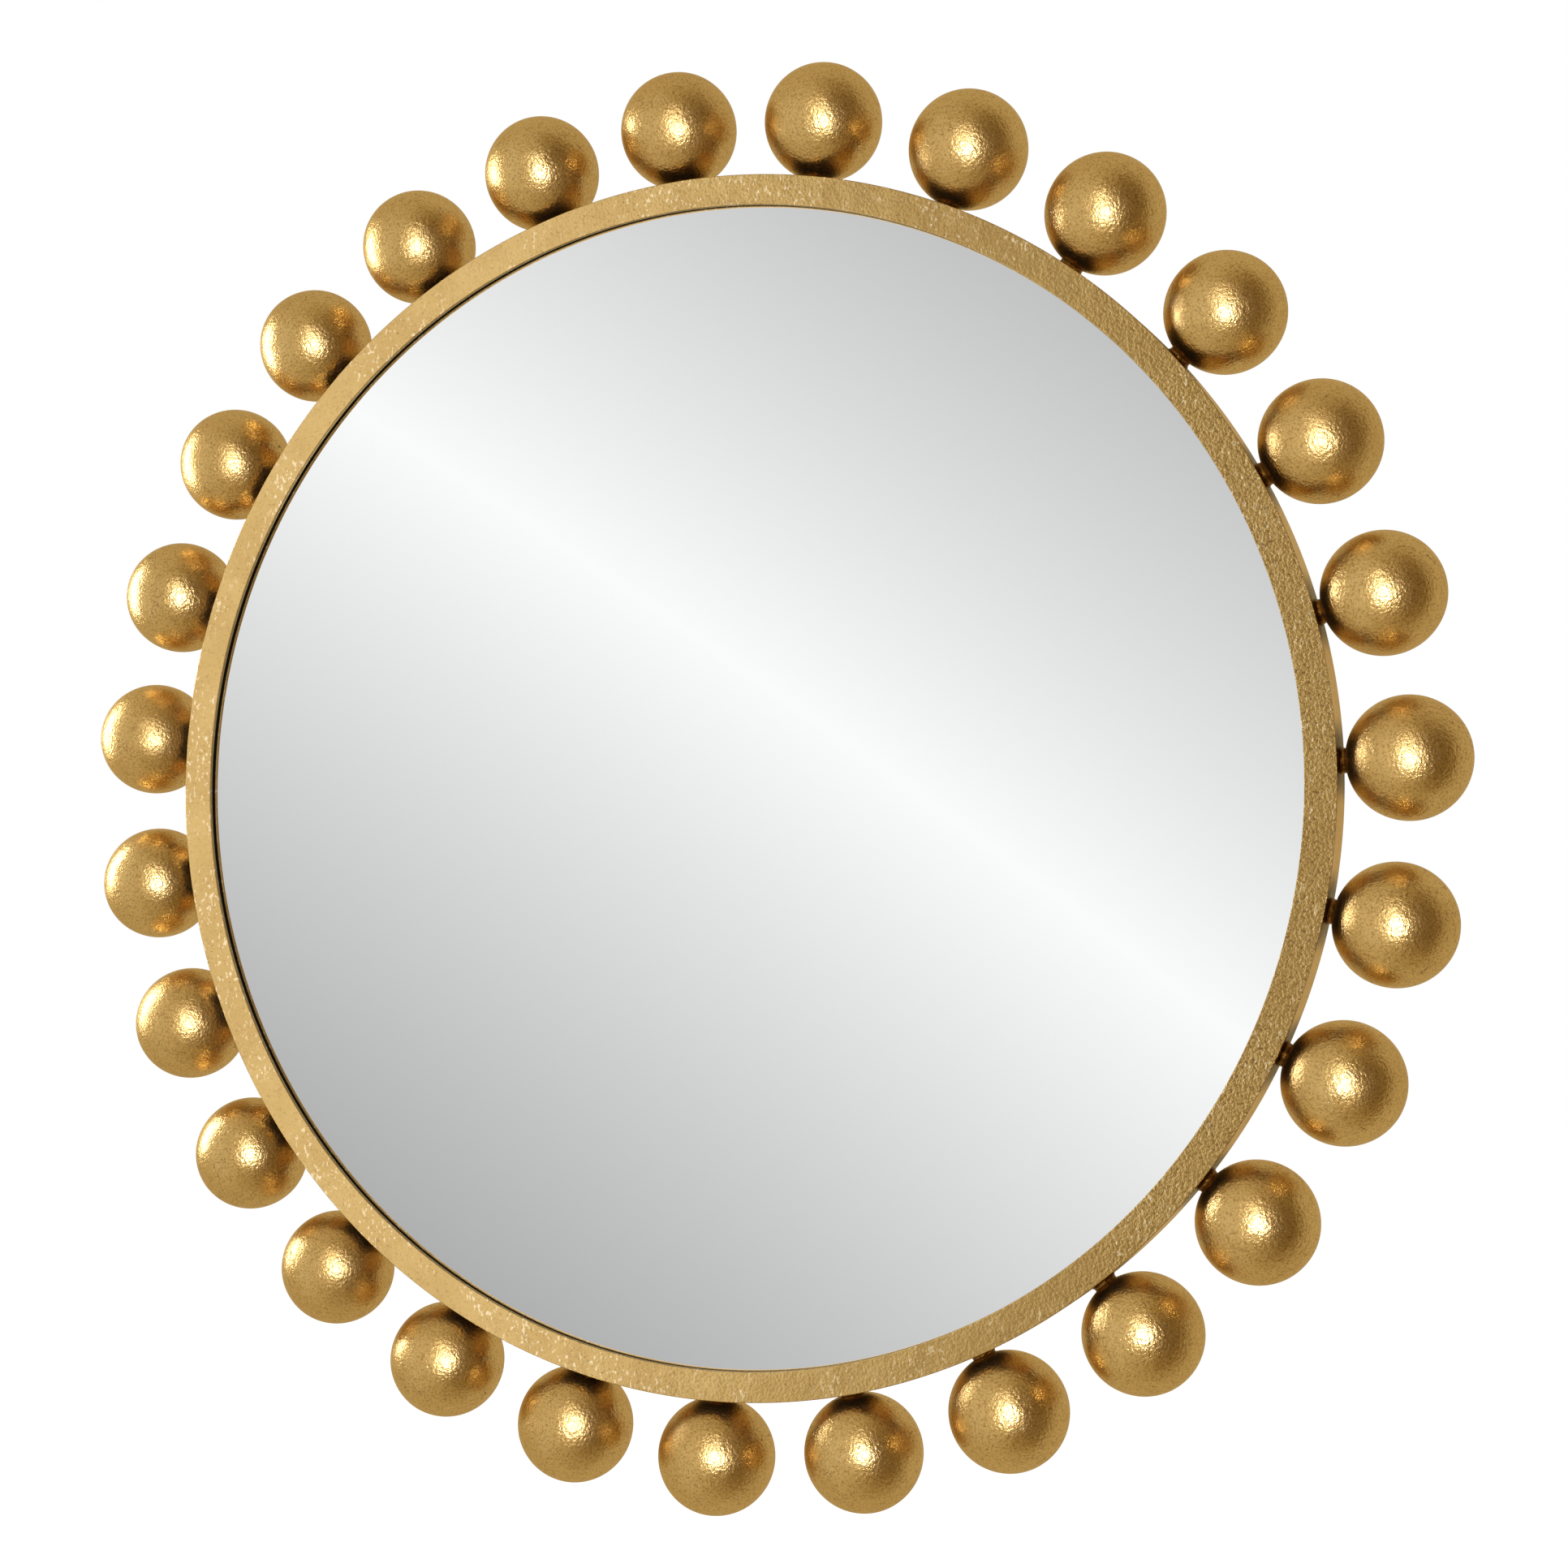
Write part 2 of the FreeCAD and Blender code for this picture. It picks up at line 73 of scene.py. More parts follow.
# Tabs and screws
TAB_COUNT = 8
TAB_OUTER = 377.3 * MM
TAB_REACH = 26.0 * MM
TAB_FLANGE = 11.0 * MM
TAB_WIDTH = 20.0 * MM
TAB_SCREW_RADIUS = 360.3 * MM
SCREW_HEAD = 7.0 * MM
SCREW_TOP = 2.2 * MM
SCREW_SHANK = 3.4 * MM
SCREW_GRIP = 6.1 * MM
RECESS_LENGTH = 4.2 * MM
RECESS_WIDTH = 0.85 * MM
RECESS_FLOOR = 1.2 * MM
RECESS_HEIGHT = 1.6 * MM
STRAP_SCREW_LOW = 148.0 * MM
STRAP_SCREW_PITCH = 15.0 * MM
HANGER_OFFSET = 230.0 * MM

# Turns that lay a piece's Z axis along Y, its top towards the front or towards the wall.
FACE_FRONT = (math.pi / 2, 0.0, 0.0)
FACE_BACK = (-math.pi / 2, 0.0, 0.0)


# ---------------------------------------------------------------------------
# Node helpers
# ---------------------------------------------------------------------------

def first_output(value):
    """A node's first live output; anything else as it is."""
    if isinstance(value, bpy.types.Node):
        return next(out for out in value.outputs if out.enabled)
    return value


class Graph:
    """Adds nodes to one tree and joins them."""

    def __init__(self, tree):
        self.tree = tree

    def give(self, socket, value):
        """Sets a socket to a value, or links a socket or node to it."""
        value = first_output(value)
        if isinstance(value, bpy.types.NodeSocket):
            self.tree.links.new(value, socket)
        else:
            socket.default_value = value

    def put(self, kind, inputs=None, **settings):
        """A node with its settings, its inputs given as values, sockets or nodes."""
        node = self.tree.nodes.new(kind)
        for name, value in settings.items():
            setattr(node, name, value)
        for key, value in (inputs or {}).items():
            self.give(node.inputs[key], value)
        return node

    def math(self, operation, first, second=0.0, third=0.0):
        inputs = {0: first, 1: second, 2: third}
        return self.put("ShaderNodeMath", inputs, operation=operation)

    def plus(self, first, second):
        return self.math("ADD", first, second)

    def minus(self, first, second):
        return self.math("SUBTRACT", first, second)

    def times(self, first, second):
        return self.math("MULTIPLY", first, second)

    def hypot(self, first, second):
        return self.math("SQRT", self.plus(self.times(first, first), self.times(second, second)))

    def vector(self, operation, first, second=(0.0, 0.0, 0.0)):
        return self.put("ShaderNodeVectorMath", {0: first, 1: second}, operation=operation)

    def scaled(self, vector, scale):
        return self.put("ShaderNodeVectorMath", {0: vector, "Scale": scale}, operation="SCALE")

    def point(self, x=0.0, y=0.0, z=0.0):
        return self.put("ShaderNodeCombineXYZ", {0: x, 1: y, 2: z})

    def ramp(self, value, low, high, to_low=0.0, to_high=1.0):
        """A smooth step from to_low at low to to_high at high."""
        inputs = {"Value": value, "From Min": low, "From Max": high, "To Min": to_low, "To Max": to_high}
        return self.put("ShaderNodeMapRange", inputs, interpolation_type="SMOOTHSTEP")

    def mix(self, factor, first, second):
        """A blend of two colours."""
        node = self.put("ShaderNodeMix", {0: factor}, data_type="RGBA")
        for key, colour in ((6, first), (7, second)):
            self.give(node.inputs[key], (*colour, 1.0) if isinstance(colour, (tuple, list)) else colour)
        return node.outputs[2]


def size_tree(name, sizes):
    """An empty Geometry Nodes tree with a named input for each size."""
    tree = bpy.data.node_groups.new(name, "GeometryNodeTree")
    tree.interface.new_socket("Geometry", in_out="OUTPUT", socket_type="NodeSocketGeometry")
    for label, value in sizes.items():
        kind = {int: "NodeSocketInt", float: "NodeSocketFloat"}.get(type(value), "NodeSocketObject")
        socket = tree.interface.new_socket(label, in_out="INPUT", socket_type=kind)
        if kind != "NodeSocketObject":
            socket.default_value = value
    graph = Graph(tree)
    entry = graph.put("NodeGroupInput")
    return tree, graph, {label: entry.outputs[label] for label in sizes}


def finish_tree(graph, geometry, finish):
    """Realises the tree's geometry and gives it its finish."""
    real = graph.put("GeometryNodeRealizeInstances", {"Geometry": geometry})
    smooth = graph.put("GeometryNodeSetShadeSmooth", {"Geometry": real})
    dressed = graph.put("GeometryNodeSetMaterial", {"Geometry": smooth, "Material": finish})
    out = graph.put("NodeGroupOutput")
    graph.give(out.inputs[0], dressed)


def evaluated_mesh(piece):
    """A plain mesh of the piece as its modifiers make it."""
    bpy.context.view_layer.update()
    return bpy.data.meshes.new_from_object(piece.evaluated_get(bpy.context.evaluated_depsgraph_get()))


def add_object(name, data):
    piece = bpy.data.objects.new(name, data)
    bpy.context.scene.collection.objects.link(piece)
    return piece


def grow(name, tree, sizes):
    """A plain mesh object made by the tree with the given sizes."""
    seed = add_object(name + "_seed", bpy.data.meshes.new(name + "_seed"))
    modifier = seed.modifiers.new("grow", "NODES")
    modifier.node_group = tree
    for item in tree.interface.items_tree:
        if item.in_out == "INPUT" and item.name in sizes:
            modifier[item.identifier] = sizes[item.name]
    seed.update_tag()
    grown = evaluated_mesh(seed)
    grown.name = name
    bpy.data.objects.remove(seed)
    return add_object(name, grown)


def fit(piece, slot, *nodes):
    """Hands a finished piece to the frame in place of its nodes."""
    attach(piece, "frame")
    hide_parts(*nodes)


def even_normals(piece):
    """Keeps wide faces flat beside narrow rounded edges."""
    weighted = piece.modifiers.new("even_normals", "WEIGHTED_NORMAL")
    weighted.keep_sharp = True
    weighted.weight = 100


def lumped(graph, geometry, scale, reach):
    """The geometry with its surface pushed about by a noise."""
    lump = graph.put("ShaderNodeTexNoise", {"Scale": scale, "Detail": 2.0})
    centred = graph.vector("SUBTRACT", lump.outputs[1], (0.5, 0.5, 0.5))
    push = graph.scaled(centred, reach)
    return graph.put("GeometryNodeSetPosition", {"Geometry": geometry, "Offset": push})


def on_circle(graph, angle, radius, y):
    """The place at that angle, clockwise from the top as the front shows it."""
    x = graph.times(graph.math("SINE", angle), radius)
    z = graph.times(graph.math("COSINE", angle), radius)
    return graph.point(x, y, z)


# ---------------------------------------------------------------------------
# Finishes
# ---------------------------------------------------------------------------

GOLD = (0.80, 0.575, 0.255)
GOLD_DEEP = (0.62, 0.37, 0.12)
GOLD_PALE = (0.97, 0.86, 0.66)
GOLD_TINT = (1.0, 0.90, 0.70, 1.0)
# Colour of the painted shade in the seam groove and round the welds.
UNDERCOAT = (0.13, 0.065, 0.022)
GRAIN_BROWN = (0.36, 0.20, 0.06)
SHADE_BLACK = (0.012, 0.008, 0.005)
LEAF_ROUGHNESS = 0.276


def new_finish(name):
    """An empty material, its graph, its shader and its place on the object."""
    finish = bpy.data.materials.new(name)
    finish.use_nodes = True
    finish.node_tree.nodes.clear()
    graph = Graph(finish.node_tree)
    place = graph.put("ShaderNodeTexCoord").outputs["Object"]
    shader = graph.put("ShaderNodeBsdfPrincipled")
    graph.put("ShaderNodeOutputMaterial", {"Surface": shader})
    return finish, graph, shader, place


def noise(graph, place, scale, detail=2.0, roughness=0.5):
    inputs = {"Vector": place, "Scale": scale, "Detail": detail, "Roughness": roughness}
    return graph.put("ShaderNodeTexNoise", inputs).outputs[0]


def stretched(graph, place, scale, turn=(0.0, 0.0, 0.0)):
    return graph.put("ShaderNodeMapping", {"Vector": place, "Scale": scale, "Rotation": turn})


def bump(graph, height, distance, strength=1.0, over=None):
    """A bumped normal, laid over another where one is given."""
    inputs = {"Strength": strength, "Distance": distance, "Height": height}
    if over is not None:
        inputs["Normal"] = over
    return graph.put("ShaderNodeBump", inputs)


def wander(graph, place, scale, reach):
    """The place moved about by a noise, so that what is drawn on it wanders."""
    drift = graph.put("ShaderNodeTexNoise", {"Vector": place, "Scale": scale, "Detail": 2.0})
    centred = graph.vector("SUBTRACT", drift.outputs[1], (0.5, 0.5, 0.5))
    return graph.vector("ADD", place, graph.scaled(centred, reach))


def leaf_cracks(graph, place, scale, width):
    """Thin wandering lines where the leaf has parted."""
    field = noise(graph, place, scale, 2.0, 0.55)
    away = graph.math("ABSOLUTE", graph.minus(field, 0.5))
    return graph.ramp(away, 0.0, width, 1.0, 0.0)


def worn_leaf(graph, place, cracks, pitting):
    """Where the undercoat shows: cracks, specks and pits."""
    wandering = wander(graph, place, 90.0, 0.006)
    long_cracks = leaf_cracks(graph, wandering, 38.0, 0.0035)
    slanted = stretched(graph, wandering, (1.0, 1.0, 2.4), (0.4, 0.7, 0.2))
    short_cracks = leaf_cracks(graph, slanted, 61.0, 0.0045)
    crack_zone = graph.ramp(noise(graph, place, 30.0, 2.0), 0.46, 0.60)
    crack = graph.times(graph.math("MAXIMUM", long_cracks, short_cracks), crack_zone)
    speck = graph.ramp(noise(graph, place, 560.0, 1.0), 0.735, 0.79)
    speck_zone = graph.ramp(noise(graph, place, 24.0, 1.0), 0.44, 0.58)
    lines = graph.math("MAXIMUM", graph.times(crack, cracks), graph.times(speck, speck_zone))
    return graph.math("MAXIMUM", graph.times(lines, 0.8), pitting)


def pale_flecks(graph, place, amount):
    """Where the leaf is rubbed bright."""
    fleck = graph.ramp(noise(graph, stretched(graph, place, (1.0, 1.0, 0.6)), 470.0, 2.0), 0.60, 0.66)
    zone = graph.ramp(noise(graph, place, 26.0, 2.0), 0.40, 0.58)
    return graph.times(graph.times(fleck, zone), amount)


def painted_shade_places(graph, place):
    """Painted shade: dark in the seam groove behind the plate and round each ball's weld, where shade and
    dark reflections fall on the leaf.
    """
    x, y, z = graph.put("ShaderNodeSeparateXYZ", {0: place}).outputs
    outside = graph.ramp(graph.hypot(x, z), BAND_OUTER - 3.0 * MM, BAND_OUTER - 1.0 * MM)
    from_seam = graph.math("ABSOLUTE", graph.minus(y, PLATE_BACK + SEAM_SHADE / 3))
    seam = graph.ramp(from_seam, SEAM_SHADE * 0.55, SEAM_SHADE, 0.94, 0.0)
    turns = graph.math("DIVIDE", graph.math("ARCTAN2", x, z), BALL_PITCH)
    from_ball = graph.math("ABSOLUTE", graph.minus(graph.math("FRACT", turns), 0.5))
    ragged = graph.math("MULTIPLY_ADD", noise(graph, place, 120.0, 3.0, 0.6), 0.10, -0.05)
    shade_near_ball = graph.ramp(graph.plus(from_ball, ragged), 0.13, 0.31, 0.93, 0.0)
    behind_plate = graph.ramp(y, PLATE_BACK - 0.5 * MM, PLATE_BACK + 0.5 * MM)
    painted_shade = graph.math("MAXIMUM", seam, graph.times(shade_near_ball, behind_plate))
    return graph.times(painted_shade, outside)


def gold_leaf(name, grain, pits, flecks, cracks, mottle, depth=1.0, shade_painted=False, left_pitting=1.0):
    """Metal leaf over a dark undercoat.

    grain is the height of its pebbled surface. pits, flecks, cracks and mottle are amounts from
    0 to 1. depth multiplies the gold's colours. The last argument scales the bumps and the dark
    pits on the left, where the right is 1: the leaf is pitted all over, and the darker pits
    painted on the right side are painted shade.
    """
    finish, graph, shader, place = new_finish(name)

    pebble = noise(graph, place, 520.0, 2.0, 0.55)
    grit = noise(graph, place, 1150.0, 1.0)
    dented = bump(graph, noise(graph, place, 62.0, 1.0), 0.5 * MM)
    across = graph.put("ShaderNodeSeparateXYZ", {0: place}).outputs["X"]
    # The bumps and the dark pits weaken to the left; the leaf is pitted all over, so the darker pits on the
    # right are painted shade.
    pitting_by_side = graph.ramp(across, 160.0 * MM, 340.0 * MM, left_pitting, 1.0)
    grained = bump(graph, graph.plus(pebble, graph.times(grit, 0.15)), grain, pitting_by_side, dented)

    pitting = graph.times(graph.times(graph.ramp(pebble, 0.43, 0.31), pits), pitting_by_side)
    worn = worn_leaf(graph, place, cracks, pitting)
    dark_grain = graph.ramp(noise(graph, place, 760.0, 2.0, 0.7), 0.52, 0.36, 0.0, mottle)
    cloud = graph.ramp(noise(graph, place, 22.0, 4.0, 0.6), 0.35, 0.68)

    light, deep = ([channel * depth for channel in gold] for gold in (GOLD, GOLD_DEEP))
    tone = graph.mix(graph.times(cloud, 0.20), light, deep)
    tone = graph.mix(dark_grain, tone, GRAIN_BROWN)
    tone = graph.mix(pale_flecks(graph, place, flecks), tone, GOLD_PALE)
    tone = graph.mix(worn, tone, UNDERCOAT)
    # Painted shade in the seam groove and round each ball's weld.
    if shade_painted:
        tone = graph.mix(painted_shade_places(graph, place), tone, SHADE_BLACK)

    graph.give(shader.inputs["Base Color"], tone)
    shader.inputs["Metallic"].default_value = 1.0
    satin = graph.ramp(cloud, 0.0, 1.0, LEAF_ROUGHNESS, LEAF_ROUGHNESS + 0.06)
    graph.give(shader.inputs["Roughness"], graph.plus(satin, graph.times(worn, 0.3)))
    graph.give(shader.inputs["Normal"], grained)
    shader.inputs["Specular Tint"].default_value = GOLD_TINT
    return finish


def weld_soot():
    """Weld metal that the leaf hardly reached: dark bronze, sooted darker in its hollows."""
    finish, graph, shader, place = new_finish("weld_soot")
    lump = noise(graph, place, 420.0, 3.0, 0.6)
    graph.give(shader.inputs["Base Color"], graph.mix(graph.ramp(lump, 0.34, 0.62), UNDERCOAT, GRAIN_BROWN))
    shader.inputs["Metallic"].default_value = 1.0
    shader.inputs["Roughness"].default_value = 0.4
    graph.give(shader.inputs["Normal"], bump(graph, lump, 0.5 * MM))
    return finish


def mirror_silver():
    """Silvered float glass."""
    finish, graph, shader, place = new_finish("mirror_silver")
    cloud = noise(graph, place, 3.0, 2.0)
    graph.give(shader.inputs["Base Color"], graph.mix(cloud, (0.950, 0.958, 0.960), (0.965, 0.968, 0.970)))
    shader.inputs["Metallic"].default_value = 1.0
    shader.inputs["Roughness"].default_value = 0.0
    return finish


def foam_black():
    """Closed-cell foam strip."""
    finish, graph, shader, place = new_finish("foam_black")
    cells = noise(graph, place, 900.0, 2.0)
    graph.give(shader.inputs["Base Color"], graph.mix(cells, (0.006, 0.006, 0.006), (0.02, 0.019, 0.017)))
    shader.inputs["Roughness"].default_value = 0.9
    shader.inputs["Specular IOR Level"].default_value = 0.2
    graph.give(shader.inputs["Normal"], bump(graph, cells, 0.2 * MM))
    return finish


def board_brown():
    """Raw pressed fibreboard: fine fibres, faint clouds and pressing lines."""
    finish, graph, shader, place = new_finish("board_brown")
    fibre = noise(graph, stretched(graph, place, (1.0, 1.0, 3.0), (0.0, 0.5, 0.0)), 620.0, 4.0, 0.7)
    cross = noise(graph, stretched(graph, place, (3.0, 1.0, 1.0), (0.0, 0.2, 0.0)), 540.0, 4.0, 0.7)
    mixed = graph.times(graph.plus(fibre, cross), 0.5)
    cloud = graph.ramp(noise(graph, place, 7.0, 4.0), 0.35, 0.7, 0.0, 0.35)
    tone = graph.mix(graph.ramp(mixed, 0.36, 0.64), (0.20, 0.115, 0.055), (0.42, 0.28, 0.16))
    graph.give(shader.inputs["Base Color"], graph.mix(cloud, tone, (0.30, 0.19, 0.10)))
    shader.inputs["Roughness"].default_value = 0.82
    graph.give(shader.inputs["Normal"], bump(graph, mixed, 0.2 * MM, 0.6))
    return finish


def zinc_plate(name, tone_low, tone_high, roughness):
    """Plated or blackened steel with rubbed patches."""
    finish, graph, shader, place = new_finish(name)
    cloud = graph.ramp(noise(graph, place, 260.0, 4.0, 0.6), 0.3, 0.7)
    rub = noise(graph, stretched(graph, place, (6.0, 1.0, 1.0)), 300.0, 3.0)
    graph.give(shader.inputs["Base Color"], graph.mix(cloud, tone_low, tone_high))
    shader.inputs["Metallic"].default_value = 1.0
    graph.give(shader.inputs["Roughness"], graph.ramp(rub, 0.3, 0.7, roughness, roughness + 0.18))
    graph.give(shader.inputs["Normal"], bump(graph, rub, 0.08 * MM, 0.4))
    return finish


BALL_LEAF = gold_leaf("ball_leaf", grain=0.40 * MM, pits=0.0, flecks=0.14, cracks=0.95, mottle=0.60)
# The face's depth of 0.69 darkens its gold below the band's and the balls', the same leaf, as painted shade.
FACE_LEAF = gold_leaf(
    "face_leaf", grain=0.90 * MM, pits=0.60, flecks=0.55, cracks=0.35, mottle=0.15,
    depth=0.69, shade_painted=True, left_pitting=0.30,
)
BAND_LEAF = gold_leaf(
    "band_leaf", grain=0.25 * MM, pits=0.12, flecks=0.20, cracks=0.80, mottle=0.35, shade_painted=True,
)
WELD_SOOT = weld_soot()
MIRROR_SILVER = mirror_silver()
FOAM_BLACK = foam_black()
BOARD_BROWN = board_brown()
TAB_STEEL = zinc_plate("tab_steel", (0.05, 0.045, 0.04), (0.14, 0.12, 0.10), 0.38)
HANGER_ZINC = zinc_plate("hanger_zinc", (0.52, 0.53, 0.55), (0.74, 0.74, 0.73), 0.24)
SCREW_ZINC = zinc_plate("screw_zinc", (0.50, 0.50, 0.50), (0.70, 0.68, 0.62), 0.22)


# ---------------------------------------------------------------------------
# Ring: face plate, band, stitch welds
# ---------------------------------------------------------------------------

def flat_bar_ring(name, finish, inner, outer, front, back, rounding):
    """A flat bar with rounded edges bent into a ring about the mirror's axis."""
    sizes = {
        "Middle radius": (inner + outer) / 2,
        "Width": outer - inner,
        "Depth": back - front,
        "Edge rounding": rounding,
        "Middle y": (front + back) / 2,
        "Segments": 540,
    }
    tree, graph, size = size_tree(name + "_tree", sizes)
    path = graph.put(
        "GeometryNodeCurvePrimitiveCircle",
        {"Resolution": size["Segments"], "Radius": size["Middle radius"]},
        mode="RADIUS",
    )
    section = graph.put(
        "GeometryNodeCurvePrimitiveQuadrilateral", {"Width": size["Width"], "Height": size["Depth"]}
    )
    rounded = graph.put(
        "GeometryNodeFilletCurve",
        {"Curve": section, "Radius": size["Edge rounding"], "Count": 4},
        mode="POLY",
    )
    swept = graph.put("GeometryNodeCurveToMesh", {"Curve": path, "Profile Curve": rounded})
    stood = graph.put(
        "GeometryNodeTransform",
        {"Geometry": swept, "Rotation": FACE_FRONT, "Translation": graph.point(y=size["Middle y"])},
    )
    finish_tree(graph, stood, finish)
    piece = grow(name, tree, sizes)
    even_normals(piece)
    return piece


def face_and_band():
    """The flat face and the bar rolled on edge behind it."""
    plate = flat_bar_ring(
        "face_plate", FACE_LEAF, RING_RADIUS - FACE_WIDTH, RING_RADIUS,
        PLATE_FRONT, PLATE_BACK, PLATE_ROUNDING,
    )
    fit(plate, "ring_leaf", "front_ring_plate")
    band = flat_bar_ring(
        "rolled_band", BAND_LEAF, BAND_OUTER - BAND_THICKNESS, BAND_OUTER,
        PLATE_BACK, RING_BACK, BAND_ROUNDING,
    )
    fit(band, "ring_leaf", "rim_band")


def seam_stitches():
    """Lumpy weld stitches in the seam groove, one midway between each pair of balls."""
    sizes = {
        "Count": BALL_COUNT,
        "Ring radius": STITCH_RADIUS,
        "Length": 9.0 * MM,
        "Thickness": 0.62 * MM,
        "Lumps": 0.22 * MM,
    }
    tree, graph, size = size_tree("seam_stitch_tree", sizes)
    sweep = graph.math("DIVIDE", size["Length"], size["Ring radius"])
    arc = graph.put(
        "GeometryNodeCurveArc",
        {"Resolution": 18, "Radius": size["Ring radius"], "Start Angle": math.pi / 2, "Sweep Angle": sweep},
        mode="RADIUS",
    )
    along = graph.put("GeometryNodeSplineParameter").outputs["Factor"]
    taper = graph.math("POWER", graph.math("SINE", graph.times(along, math.pi)), 0.4)
    thick = graph.math("MAXIMUM", taper, 0.15)
    tapered = graph.put("GeometryNodeSetCurveRadius", {"Curve": arc, "Radius": thick})
    section = graph.put(
        "GeometryNodeCurvePrimitiveCircle", {"Resolution": 10, "Radius": size["Thickness"]}, mode="RADIUS"
    )
    bead = graph.put(
        "GeometryNodeCurveToMesh",
        {"Curve": tapered, "Profile Curve": section, "Scale": thick, "Fill Caps": True},
    )
    step = graph.math("DIVIDE", TURN, size["Count"])
    turn = graph.point(z=graph.times(graph.put("GeometryNodeInputIndex"), step))
    points = graph.put("GeometryNodePoints", {"Count": size["Count"]})
    copies = graph.put(
        "GeometryNodeInstanceOnPoints", {"Points": points, "Instance": bead, "Rotation": turn}
    )
    real = graph.put("GeometryNodeRealizeInstances", {"Geometry": copies})
    stood = graph.put(
        "GeometryNodeTransform",
        {
            "Geometry": lumped(graph, real, 520.0, size["Lumps"]),
            "Rotation": FACE_FRONT,
            "Translation": (0.0, PLATE_BACK, 0.0),
        },
    )
    finish_tree(graph, stood, BAND_LEAF)
    fit(grow("seam_stitches", tree, sizes), "ring_leaf", "seam_welds")


# ---------------------------------------------------------------------------
# Balls and the welds that carry them
# ---------------------------------------------------------------------------

def leafed_balls():
    """Each hollow ball, round to the eye but very slightly out of true under its leaf."""
    sizes = {
        "Number": 1,
        "Count": BALL_COUNT,
        "Ball radius": BALL_RADIUS,
        "Circle radius": BALL_CIRCLE,
        "Middle y": BALL_Y,
        "Out of true": 0.25 * MM,
    }
    tree, graph, size = size_tree("leafed_ball_tree", sizes)
    least = graph.minus(size["Ball radius"], size["Out of true"])
    shell = graph.put("GeometryNodeMeshIcoSphere", {"Radius": least, "Subdivisions": 6})
    apart = graph.point(x=graph.times(size["Number"], 3.7))
    here = graph.vector("ADD", graph.put("GeometryNodeInputPosition"), apart)
    uneven = graph.put("ShaderNodeTexNoise", {"Vector": here, "Scale": 30.0, "Detail": 1.0})
    swell = graph.times(uneven, size["Out of true"])
    outward = graph.scaled(graph.put("GeometryNodeInputNormal").outputs[0], swell)
    beaten = graph.put("GeometryNodeSetPosition", {"Geometry": shell, "Offset": outward})
    step = graph.math("DIVIDE", TURN, size["Count"])
    angle = graph.times(graph.minus(size["Number"], 0.5), step)
    seat = on_circle(graph, angle, size["Circle radius"], size["Middle y"])
    placed = graph.put("GeometryNodeTransform", {"Geometry": beaten, "Translation": seat})
    finish_tree(graph, placed, BALL_LEAF)
    for number in range(1, BALL_COUNT + 1):
        sizes["Number"] = number
        ball = grow("leafed_ball_%02d" % number, tree, sizes)
        fit(ball, "ball_leaf", "ball_%02d" % number)


def weld_collars():
    """A waisted collar of weld metal between the band and each ball."""
    sizes = {
        "Count": BALL_COUNT,
        "Start radius": COLLAR_START,
        "Reach": COLLAR_REACH,
        "Waist": 7.4 * MM,
        "Flare": 1.6 * MM,
        "Middle y": BALL_Y,
    }
    tree, graph, size = size_tree("weld_collar_tree", sizes)
    spine = graph.put(
        "GeometryNodeCurvePrimitiveLine",
        {"Start": (0.0, 0.0, 0.0), "End": graph.point(z=size["Reach"])},
        mode="POINTS",
    )
    fine = graph.put("GeometryNodeResampleCurve", {"Curve": spine, "Count": 13})
    along = graph.put("GeometryNodeSplineParameter").outputs["Factor"]
    from_waist = graph.math("ABSOLUTE", graph.minus(graph.times(along, 2.0), 1.0))
    flared = graph.times(graph.math("POWER", from_waist, 2.2), size["Flare"])
    section = graph.put("GeometryNodeCurvePrimitiveCircle", {"Resolution": 40, "Radius": 1.0}, mode="RADIUS")
    collar = graph.put(
        "GeometryNodeCurveToMesh",
        {
            "Curve": fine,
            "Profile Curve": section,
            "Scale": graph.plus(size["Waist"], flared),
            "Fill Caps": True,
        },
    )
    step = graph.math("DIVIDE", TURN, size["Count"])
    angle = graph.times(graph.plus(graph.put("GeometryNodeInputIndex"), 0.5), step)
    seat = on_circle(graph, angle, size["Start radius"], size["Middle y"])
    points = graph.put("GeometryNodePoints", {"Count": size["Count"], "Position": seat})
    copies = graph.put(
        "GeometryNodeInstanceOnPoints",
        {"Points": points, "Instance": collar, "Rotation": graph.point(y=angle)},
    )
    real = graph.put("GeometryNodeRealizeInstances", {"Geometry": copies})
    finish_tree(graph, lumped(graph, real, 240.0, 0.5 * MM), WELD_SOOT)
    fit(grow("weld_collars", tree, sizes), "weld_leaf", "ball_welds")


# ---------------------------------------------------------------------------
# Tabs and screws that hold the glass, the board and the hangers
# ---------------------------------------------------------------------------

def round_array(graph, item, count):
    """Copies of an item modelled at the top of the ring, turned evenly about its axis."""
    points = graph.put("GeometryNodePoints", {"Count": count})
    step = graph.math("DIVIDE", TURN, count)
    turn = graph.point(y=graph.times(graph.put("GeometryNodeInputIndex"), step))
    return graph.put("GeometryNodeInstanceOnPoints", {"Points": points, "Instance": item, "Rotation": turn})


